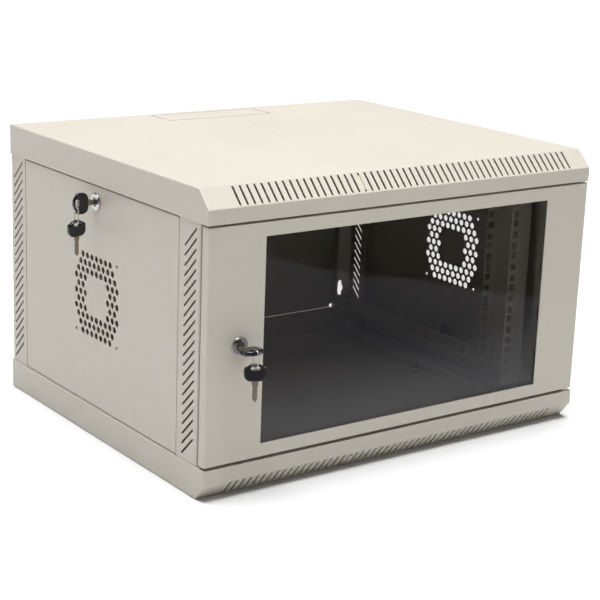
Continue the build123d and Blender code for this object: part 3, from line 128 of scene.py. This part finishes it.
class Finish:
    """A material and the one way its nodes are added."""

    def __init__(self, name):
        self.material = bpy.data.materials.new(name)
        self.material.use_nodes = True
        self.tree = self.material.node_tree
        self.tree.nodes.clear()
        self.place = self.node("TexCoord")["Object"]

    def node(self, kind, settings=None, inputs=None):
        """Adds a node, makes its settings, then fills or links its sockets, and returns its outputs."""
        made = self.tree.nodes.new("ShaderNode" + kind)
        for name, value in (settings or {}).items():
            if name == "stops":
                while len(made.color_ramp.elements) < len(value):
                    made.color_ramp.elements.new(0.5)
                for element, (position, colour) in zip(made.color_ramp.elements, value):
                    element.position = position
                    element.color = colour
            else:
                setattr(made, name, value)
        for name, value in (inputs or {}).items():
            if isinstance(value, Wire):
                self.tree.links.new(value.socket, made.inputs[name])
            else:
                made.inputs[name].default_value = value
        return {out.name: Wire(self, out) for out in made.outputs if out.enabled}

    def noise(self, scale, detail=2.0, stretch=None):
        """Fractal noise from 0 to 1, at a number of cells per metre, drawn out along an axis by stretch."""
        place = self.place
        if stretch:
            place = self.node("Mapping", inputs={"Vector": place, "Scale": stretch})["Vector"]
        return self.node("TexNoise", inputs={"Vector": place, "Scale": scale, "Detail": detail})["Fac"]

    def ramp(self, value, low, high):
        """0 below low, 1 above high, and smooth between them."""
        limits = {"Value": value, "From Min": low, "From Max": high}
        return self.node("MapRange", {"interpolation_type": "SMOOTHSTEP"}, limits)["Result"]

    def blend(self, factor, first, second):
        """A colour between two colours."""
        pair = {0: factor, 6: first, 7: second}
        return self.node("Mix", {"data_type": "RGBA"}, pair)["Result"]

    def bump(self, height, distance):
        """A surface normal from a height, with its depth in metres."""
        return self.node("Bump", inputs={"Height": height, "Distance": distance})["Normal"]

    def surface(self, **sockets):
        """Ends the material in a Principled shader."""
        names = {name.replace("_", " "): value for name, value in sockets.items()}
        shader = self.node("BsdfPrincipled", inputs=names)["BSDF"]
        return self.close(shader)

    def close(self, shader):
        self.node("OutputMaterial", inputs={"Surface": shader})
        return self.material


def shade(colour, factor):
    """A colour made darker or lighter."""
    return [channel * factor for channel in colour[:3]] + [1.0]


# ---------------------------------------------------------------- finishes
def powder_coat(colour):
    """Fine-textured powder paint, very slightly uneven in tone and sheen."""
    finish = Finish("powder_coat")
    cloud = finish.noise(5.0, 3.0)
    grain = finish.noise(1400.0, 1.0)
    peel = finish.noise(420.0, 2.0)
    wave = finish.noise(9.0, 1.0)
    dust = finish.ramp(finish.noise(60.0, 4.0), 0.45, 0.8)
    tone = finish.blend(cloud, shade(colour, 0.97), shade(colour, 1.03))
    tone = finish.blend(dust * 0.06, tone, (0.42, 0.39, 0.33, 1.0))
    tone = finish.blend(grain * 0.05, tone, shade(colour, 0.8))
    height = peel * 0.6 + grain * 0.25 + wave * 6.0
    return finish.surface(
        Base_Color=tone,
        Roughness=0.36 + 0.1 * cloud + 0.05 * grain + 0.08 * dust,
        Normal=finish.bump(height, 0.00006),
    )


def zinc_plate(colour):
    """Bright zinc over drawn steel."""
    finish = Finish("zinc")
    drawn = finish.noise(900.0, 2.0, (1.0, 1.0, 0.15))
    stain = finish.noise(140.0, 3.0)
    tone = finish.blend(stain, shade(colour, 0.82), shade(colour, 1.08))
    return finish.surface(
        Base_Color=tone,
        Metallic=1.0,
        Roughness=0.26 + 0.16 * stain + 0.08 * drawn,
        Normal=finish.bump(drawn, 0.00002),
    )


def dark_steel(colour):
    """Blackened steel."""
    finish = Finish("dark_steel")
    patch = finish.noise(300.0, 3.0)
    tone = finish.blend(patch, shade(colour, 0.7), shade(colour, 1.5))
    return finish.surface(
        Base_Color=tone, Metallic=0.9, Roughness=0.4 + 0.2 * patch, Normal=finish.bump(patch, 0.00003)
    )


def chrome_plate(colour):
    """Polished plating with hairline marks from keys."""
    finish = Finish("lock_chrome")
    marks = finish.noise(1600.0, 2.0, (1.0, 0.2, 1.0))
    haze = finish.noise(220.0, 2.0)
    tone = finish.blend(haze, shade(colour, 0.93), shade(colour, 1.05))
    return finish.surface(
        Base_Color=tone,
        Metallic=1.0,
        Roughness=0.1 + 0.12 * haze * marks,
        Normal=finish.bump(marks, 0.000008),
    )


def plug_nickel(colour):
    """Turned and tarnished nickel."""
    finish = Finish("plug_nickel")
    rub = finish.noise(700.0, 3.0)
    tone = finish.blend(rub, shade(colour, 0.65), shade(colour, 1.1))
    return finish.surface(
        Base_Color=tone, Metallic=1.0, Roughness=0.22 + 0.2 * rub, Normal=finish.bump(rub, 0.00002)
    )


def key_brass(colour):
    """Milled blade with fine lengthwise lines."""
    finish = Finish("key_brass")
    milled = finish.noise(1200.0, 2.0, (1.0, 1.0, 0.1))
    rub = finish.noise(260.0, 2.0)
    tone = finish.blend(rub, shade(colour, 0.8), shade(colour, 1.12))
    return finish.surface(
        Base_Color=tone, Metallic=1.0, Roughness=0.25 + 0.15 * rub, Normal=finish.bump(milled, 0.00002)
    )


def key_plastic(colour):
    """Moulded glossy plastic with a faint flow texture."""
    finish = Finish("key_plastic")
    flow = finish.noise(130.0, 2.0)
    scuff = finish.ramp(finish.noise(800.0, 3.0), 0.55, 0.75)
    tone = finish.blend(scuff * 0.5, shade(colour, 1.0), shade(colour, 2.2))
    return finish.surface(
        Base_Color=tone,
        Roughness=0.14 + 0.12 * scuff + 0.05 * flow,
        Normal=finish.bump(flow, 0.00012),
        Coat_Weight=0.3,
    )


def foam_tape(colour):
    """Closed-cell foam."""
    finish = Finish("foam")
    cells = finish.noise(1500.0, 2.0)
    tone = finish.blend(cells, shade(colour, 0.6), shade(colour, 1.6))
    return finish.surface(Base_Color=tone, Roughness=0.9, Normal=finish.bump(cells, 0.0001))


def nylon(colour):
    """Natural nylon moulding."""
    finish = Finish("nylon")
    flow = finish.noise(300.0, 2.0)
    tone = finish.blend(flow, shade(colour, 0.93), shade(colour, 1.04))
    return finish.surface(Base_Color=tone, Roughness=0.45 + 0.1 * flow, Normal=finish.bump(flow, 0.00003))


def tinted_glass(colour, gloss):
    """Toughened pane: a grey tint for what is behind it and a mirror for what is in front."""
    finish = Finish("glass")
    smear = finish.noise(14.0, 3.0)
    facing = finish.node("LayerWeight", inputs={"Blend": 0.5})["Facing"]
    mirrored = 0.04 + 0.96 * facing**5.0
    tint = finish.blend(smear, shade(colour, 0.97), shade(colour, 1.03))
    clear = finish.node("BsdfTransparent", inputs={"Color": tint})["BSDF"]
    polish = {"Roughness": 0.02 + 0.03 * smear, "Color": (1, 1, 1, 1)}
    mirror = finish.node("BsdfGlossy", inputs=polish)["BSDF"]
    return finish.close(finish.node("MixShader", inputs={0: mirrored * gloss, 1: clear, 2: mirror})["Shader"])


def pale_floor(colour):
    """Smooth painted floor."""
    finish = Finish("pale_floor")
    cloud = finish.noise(0.6, 2.0)
    tone = finish.blend(cloud, shade(colour, 0.985), shade(colour, 1.0))
    return finish.surface(Base_Color=tone, Roughness=0.75)


def paint(names, material):
    """Gives CAD nodes or new pieces a material."""
    for name in names:
        piece = NODES[name] if name in NODES else bpy.data.objects[name]
        piece.data.materials.clear()
        piece.data.materials.append(material)


def add_piece(name, shape, material, body, replaced=()):
    """Turns a bmesh into a finished piece that rides on a body."""
    mesh = bpy.data.meshes.new(name)
    bmesh.ops.recalc_face_normals(shape, faces=shape.faces)
    shape.to_mesh(mesh)
    shape.free()
    piece = bpy.data.objects.new(name, mesh)
    bpy.context.scene.collection.objects.link(piece)
    mesh.materials.append(material)
    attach(piece, body)
    if replaced:
        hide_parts(*replaced)
    return piece


def reflected_cloth(near, far):
    """Studio cloth whose tone changes with its distance in front of the cabinet."""
    finish = Finish("reflected_cloth")
    weave = finish.noise(400.0, 2.0)
    distance = 0.0 - finish.node("SeparateXYZ", inputs={"Vector": finish.place})["Y"]
    tone = finish.blend(finish.ramp(distance, *CLOTH_FADE), near, far)
    return finish.surface(Base_Color=tone, Roughness=0.8 + 0.1 * weave, Specular_IOR_Level=0.0)


def backdrop_paper():
    """Lit white paper all round the studio."""
    finish = Finish("backdrop_paper")
    cloud = finish.noise(0.05, 1.0)
    glow = finish.node("Emission", inputs={"Color": (1.0, 1.0, 1.0, 1.0), "Strength": 1.0 + 0.02 * cloud})
    return finish.close(glow["Emission"])


def stage_piece(name, shape, material):
    """Turns a bmesh into a piece of the studio."""
    mesh = bpy.data.meshes.new(name)
    shape.to_mesh(mesh)
    shape.free()
    piece = bpy.data.objects.new(name, mesh)
    bpy.context.scene.collection.objects.link(piece)
    mesh.materials.append(material)
    return piece


def show_only(piece, camera=False, glossy=False):
    """Lets a piece of the studio be seen by some rays, and cast no shadow."""
    piece.visible_camera = camera
    piece.visible_glossy = glossy
    piece.visible_diffuse = False
    piece.visible_transmission = False
    piece.visible_shadow = False


def lay_cloth(name, outline, height, material):
    """Lays a cloth on the floor that only mirrored rays meet."""
    shape = bmesh.new()
    for x, y in outline:
        shape.verts.new((x, y, height))
    shape.faces.new(shape.verts)
    show_only(stage_piece(name, shape, material), glossy=True)


# ---------------------------------------------------------------- settings
class RackColours(bpy.types.PropertyGroup):
    """Colours of the cabinet's finishes."""

    coat: bpy.props.FloatVectorProperty(
        name="Powder coat",
        description="Paint of all sheet metal",
        subtype="COLOR", default=(0.51, 0.478, 0.408),
    )
    zinc: bpy.props.FloatVectorProperty(
        name="Zinc", description="Plating of screws and nuts", subtype="COLOR", default=(0.6, 0.6, 0.58)
    )
    dark: bpy.props.FloatVectorProperty(
        name="Dark steel", description="Earth stud", subtype="COLOR", default=(0.09, 0.08, 0.075)
    )
    chrome: bpy.props.FloatVectorProperty(
        name="Chrome", description="Lock heads", subtype="COLOR", default=(0.5, 0.49, 0.47)
    )
    nickel: bpy.props.FloatVectorProperty(
        name="Nickel", description="Lock plugs", subtype="COLOR", default=(0.2, 0.19, 0.17)
    )
    blade: bpy.props.FloatVectorProperty(
        name="Key blade", description="Key blades", subtype="COLOR", default=(0.36, 0.31, 0.24)
    )
    bow: bpy.props.FloatVectorProperty(
        name="Key bow", description="Moulded key bows", subtype="COLOR", default=(0.003, 0.003, 0.0035)
    )
    foam: bpy.props.FloatVectorProperty(
        name="Foam", description="Tape behind the window's edge", subtype="COLOR", default=(0.02, 0.02, 0.02)
    )
    bush: bpy.props.FloatVectorProperty(
        name="Bushes", description="Hinge bushes", subtype="COLOR", default=(0.6, 0.58, 0.52)
    )
    glass: bpy.props.FloatVectorProperty(
        name="Glass",
        description="Light that the pane lets through",
        subtype="COLOR", default=(0.76, 0.755, 0.75),
    )
    floor: bpy.props.FloatVectorProperty(
        name="Floor", description="Studio floor", subtype="COLOR", default=(0.7, 0.7, 0.69)
    )


class RackSizes(bpy.types.PropertyGroup):
    """Sizes of the small details, and of the studio."""

    gloss: bpy.props.FloatProperty(
        name="Glass gloss", description="Strength of the pane's reflections", default=0.75, min=0.0
    )
    arris: bpy.props.FloatProperty(
        name="Glass arris", description="Ground edge of the pane", default=0.0005, unit="LENGTH", min=0.0
    )
    cloth_height: bpy.props.FloatProperty(
        name="Cloth height", description="Dark cloth above the floor", default=0.002, unit="LENGTH", min=0.0
    )
    floor_size: bpy.props.FloatProperty(
        name="Floor size", description="Half the width of the floor", default=40.0, unit="LENGTH", min=1.0
    )
    sun: bpy.props.FloatProperty(
        name="Overhead light", description="Strength of the large overhead light", default=6.1
    )
    fill: bpy.props.FloatProperty(
        name="Front light", description="Power of the panel light in front", default=4.5
    )
    ambient: bpy.props.FloatProperty(
        name="Room light", description="Strength of the light from all round", default=0.1
    )


# ---------------------------------------------------------------- operators
class RACK_OT_coat(bpy.types.Operator):
    """Powder coats all sheet metal"""

    bl_idname = "rack.coat"
    bl_label = "Powder coat"

    def execute(self, context):
        paint(COATED, powder_coat(context.scene.rack_colours.coat))
        return {"FINISHED"}


class RACK_OT_hardware(bpy.types.Operator):
    """Plates the screws, locks, keys and hinge pieces"""

    bl_idname = "rack.hardware"
    bl_label = "Hardware finishes"

    def execute(self, context):
        colours = context.scene.rack_colours
        paint(ZINC, zinc_plate(colours.zinc))
        paint(["earth_stud"], dark_steel(colours.dark))
        paint(CHROME, chrome_plate(colours.chrome))
        paint(PLUGS, plug_nickel(colours.nickel))
        paint(BLADES, key_brass(colours.blade))
        paint(BOWS, key_plastic(colours.bow))
        paint(["glass_tape"], foam_tape(colours.foam))
        paint(["hinge_bushes"], nylon(colours.bush))
        return {"FINISHED"}


class RACK_OT_pane(bpy.types.Operator):
    """Makes the door's glass pane with ground edges"""

    bl_idname = "rack.pane"
    bl_label = "Glass pane"

    def execute(self, context):
        low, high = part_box("door_glass")
        shape = bmesh.new()
        bmesh.ops.create_cube(shape, size=1.0)
        bmesh.ops.scale(shape, vec=high - low, verts=shape.verts)
        bmesh.ops.translate(shape, vec=(high + low) / 2, verts=shape.verts)
        arris = context.scene.rack_sizes.arris
        edges = shape.edges[:]
        bmesh.ops.bevel(shape, geom=edges, offset=arris, segments=1, profile=0.5, affect="EDGES", material=-1)
        glass = tinted_glass(context.scene.rack_colours.glass, context.scene.rack_sizes.gloss)
        add_piece("glass_pane", shape, glass, "door", ["door_glass"])
        return {"FINISHED"}


class RACK_OT_stage(bpy.types.Operator):
    """Adds the floor, the lights and the camera"""

    bl_idname = "rack.stage"
    bl_label = "Studio"

    def execute(self, context):
        scene = context.scene
        sizes = scene.rack_sizes
        shape = bmesh.new()
        bmesh.ops.create_grid(shape, x_segments=1, y_segments=1, size=sizes.floor_size)
        stage_piece("studio_floor", shape, pale_floor(scene.rack_colours.floor))
        shape = bmesh.new()
        bmesh.ops.create_icosphere(shape, subdivisions=4, radius=sizes.floor_size)
        show_only(stage_piece("backdrop", shape, backdrop_paper()), camera=True)
        lay_cloth("near_cloth", NEAR_CLOTH, sizes.cloth_height, reflected_cloth(CLOTH_PALE, CLOTH_GREY))
        lay_cloth("far_cloth", FAR_CLOTH, 2 * sizes.cloth_height, reflected_cloth(CLOTH_BLACK, CLOTH_BLACK))

        world = bpy.data.worlds.new("studio")
        world.use_nodes = True
        backdrop = world.node_tree.nodes["Background"]
        backdrop.inputs["Color"].default_value = ROOM_COLOUR
        backdrop.inputs["Strength"].default_value = sizes.ambient
        scene.world = world

        lamp = bpy.data.lights.new("overhead", "SUN")
        lamp.energy = sizes.sun
        lamp.angle = radians(OVERHEAD_SPREAD)
        lamp.color = OVERHEAD_COLOUR
        light = bpy.data.objects.new("overhead", lamp)
        light.rotation_euler = [radians(angle) for angle in OVERHEAD_TILT]
        scene.collection.objects.link(light)

        panel = bpy.data.lights.new("front_fill", "AREA")
        panel.energy = sizes.fill
        panel.size = FILL_SIZE
        panel.color = FILL_COLOUR
        fill = bpy.data.objects.new("front_fill", panel)
        fill.location = FILL_PLACE
        aim = fill.location - Vector(FILL_TARGET)
        fill.rotation_euler = aim.to_track_quat("Z", "Y").to_euler()
        scene.collection.objects.link(fill)

        view = bpy.data.cameras.new("camera")
        view.lens = LENS
        view.sensor_width = SENSOR
        view.shift_x, view.shift_y = SHIFT
        view.clip_end = 100.0
        camera = bpy.data.objects.new("camera", view)
        azimuth, elevation, roll = [radians(angle) for angle in CAMERA_ANGLES]
        back = Vector((sin(azimuth) * cos(elevation), -cos(azimuth) * cos(elevation), sin(elevation)))
        level = Vector((0, 0, 1)).cross(back).normalized()
        upright = back.cross(level)
        right = cos(roll) * level + sin(roll) * upright
        up = cos(roll) * upright - sin(roll) * level
        turn = Matrix((right, up, back)).transposed().to_4x4()
        camera.matrix_world = Matrix.Translation(CAMERA_PLACE) @ turn
        scene.collection.objects.link(camera)
        scene.camera = camera
        scene.view_settings.view_transform = "Standard"
        return {"FINISHED"}


OPERATORS = (RACK_OT_coat, RACK_OT_hardware, RACK_OT_pane, RACK_OT_stage)


class RACK_PT_panel(bpy.types.Panel):
    """Lists the cabinet's steps and settings"""

    bl_idname = "RACK_PT_panel"
    bl_label = "Rack cabinet"
    bl_space_type = "VIEW_3D"
    bl_region_type = "UI"
    bl_category = "Rack cabinet"

    def draw(self, context):
        for group in (context.scene.rack_sizes, context.scene.rack_colours):
            for name in group.bl_rna.properties.keys():
                if name not in ("rna_type", "name"):
                    self.layout.prop(group, name)
        for operator in OPERATORS:
            self.layout.operator(operator.bl_idname)


CLASSES = (RackColours, RackSizes, *OPERATORS, RACK_PT_panel)


def register():
    for cls in CLASSES:
        bpy.utils.register_class(cls)
    bpy.types.Scene.rack_colours = bpy.props.PointerProperty(type=RackColours)
    bpy.types.Scene.rack_sizes = bpy.props.PointerProperty(type=RackSizes)


def unregister():
    del bpy.types.Scene.rack_colours
    del bpy.types.Scene.rack_sizes
    for cls in reversed(CLASSES):
        bpy.utils.unregister_class(cls)


def main():
    register()
    for operator in OPERATORS:
        step = operator.bl_idname.split(".")[1]
        getattr(bpy.ops.rack, step)()


if __name__ == "__main__":
    main()
